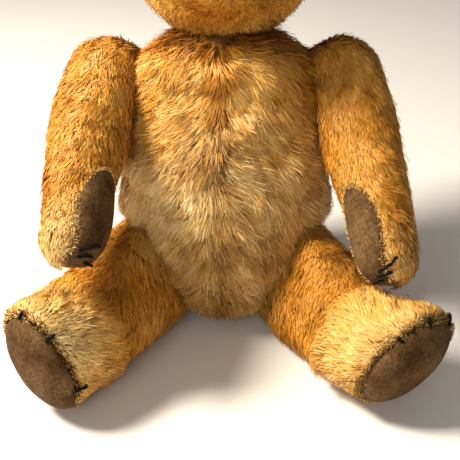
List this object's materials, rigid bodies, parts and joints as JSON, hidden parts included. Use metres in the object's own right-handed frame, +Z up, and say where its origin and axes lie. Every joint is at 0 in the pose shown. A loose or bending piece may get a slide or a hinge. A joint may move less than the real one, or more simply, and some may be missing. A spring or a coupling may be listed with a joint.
{
  "type": "teddy bear",
  "caption": "Sitting jointed teddy bear in long golden mohair, with disc joints at the neck, shoulders and hips.",
  "frame": {"origin": "on the floor, in the middle of the front of the flat seat that the torso rests on", "axes": "+Z up; the bear faces -Y; +X is the bear's left"},
  "size_m": [0.2723, 0.2557, 0.3042],
  "materials": {
    "mohair_plush": "long pile",
    "wood_wool": "loose fibre",
    "brown_felt": "napped cloth",
    "black_thread": "twisted thread",
    "amber_glass": "polished",
    "hardboard": "pressed board",
    "card": "plain card",
    "steel": "drawn wire and sheet"
  },
  "bodies": {
    "torso": {"torso_cover": "mohair_plush", "torso_stuffing": "wood_wool", "neck_body_disc": "hardboard", "neck_body_washer": "steel", "left_shoulder_body_disc": "hardboard", "left_shoulder_body_washer": "steel", "right_shoulder_body_disc": "hardboard", "right_shoulder_body_washer": "steel", "left_hip_body_disc": "hardboard", "left_hip_body_washer": "steel", "right_hip_body_disc": "hardboard", "right_hip_body_washer": "steel"},
    "head": {"head_cover": "mohair_plush", "head_stuffing": "wood_wool", "left_ear": "mohair_plush", "right_ear": "mohair_plush", "left_eye": "amber_glass", "right_eye": "amber_glass", "nose": "black_thread", "mouth": "black_thread", "neck_head_disc": "hardboard", "neck_head_washer": "steel", "neck_pin": "steel"},
    "arm_left": {"left_arm_cover": "mohair_plush", "left_arm_stuffing": "wood_wool", "left_paw_pad": "brown_felt", "left_paw_claws": "black_thread", "left_shoulder_arm_disc": "hardboard", "left_shoulder_arm_washer": "steel", "left_shoulder_pin": "steel"},
    "arm_right": {"right_arm_cover": "mohair_plush", "right_arm_stuffing": "wood_wool", "right_paw_pad": "brown_felt", "right_paw_claws": "black_thread", "right_shoulder_arm_disc": "hardboard", "right_shoulder_arm_washer": "steel", "right_shoulder_pin": "steel"},
    "leg_left": {"left_leg_cover": "mohair_plush", "left_leg_stuffing": "wood_wool", "left_sole_pad": "brown_felt", "left_insole": "card", "left_foot_claws": "black_thread", "left_hip_leg_disc": "hardboard", "left_hip_leg_washer": "steel", "left_hip_pin": "steel"},
    "leg_right": {"right_leg_cover": "mohair_plush", "right_leg_stuffing": "wood_wool", "right_sole_pad": "brown_felt", "right_insole": "card", "right_foot_claws": "black_thread", "right_hip_leg_disc": "hardboard", "right_hip_leg_washer": "steel", "right_hip_pin": "steel"}
  },
  "joints": [
    {"name": "neck", "type": "hinge", "parent": "torso", "child": "head", "pos_m": [0, 0.03683, 0.18945], "axis": [0, 0.1908, 0.9816], "continuous": true},
    {"name": "shoulder_left", "type": "hinge", "parent": "torso", "child": "arm_left", "pos_m": [0.06, 0.02955, 0.15725], "axis": [-0.9925, -0.0233, -0.1196], "range_deg": [0, 94]},
    {"name": "shoulder_right", "type": "hinge", "parent": "torso", "child": "arm_right", "pos_m": [-0.06, 0.02955, 0.15725], "axis": [-0.9925, 0.0233, 0.1196], "range_deg": [-8, 86]},
    {"name": "hip_left", "type": "hinge", "parent": "torso", "child": "leg_left", "pos_m": [0.027, 0, 0.048], "axis": [0.8638, 0.2974, -0.4067], "range_deg": [0, 90]},
    {"name": "hip_right", "type": "hinge", "parent": "torso", "child": "leg_right", "pos_m": [-0.027, 0, 0.048], "axis": [-0.8585, 0.3125, -0.4067], "range_deg": [-90, 0]}
  ]
}
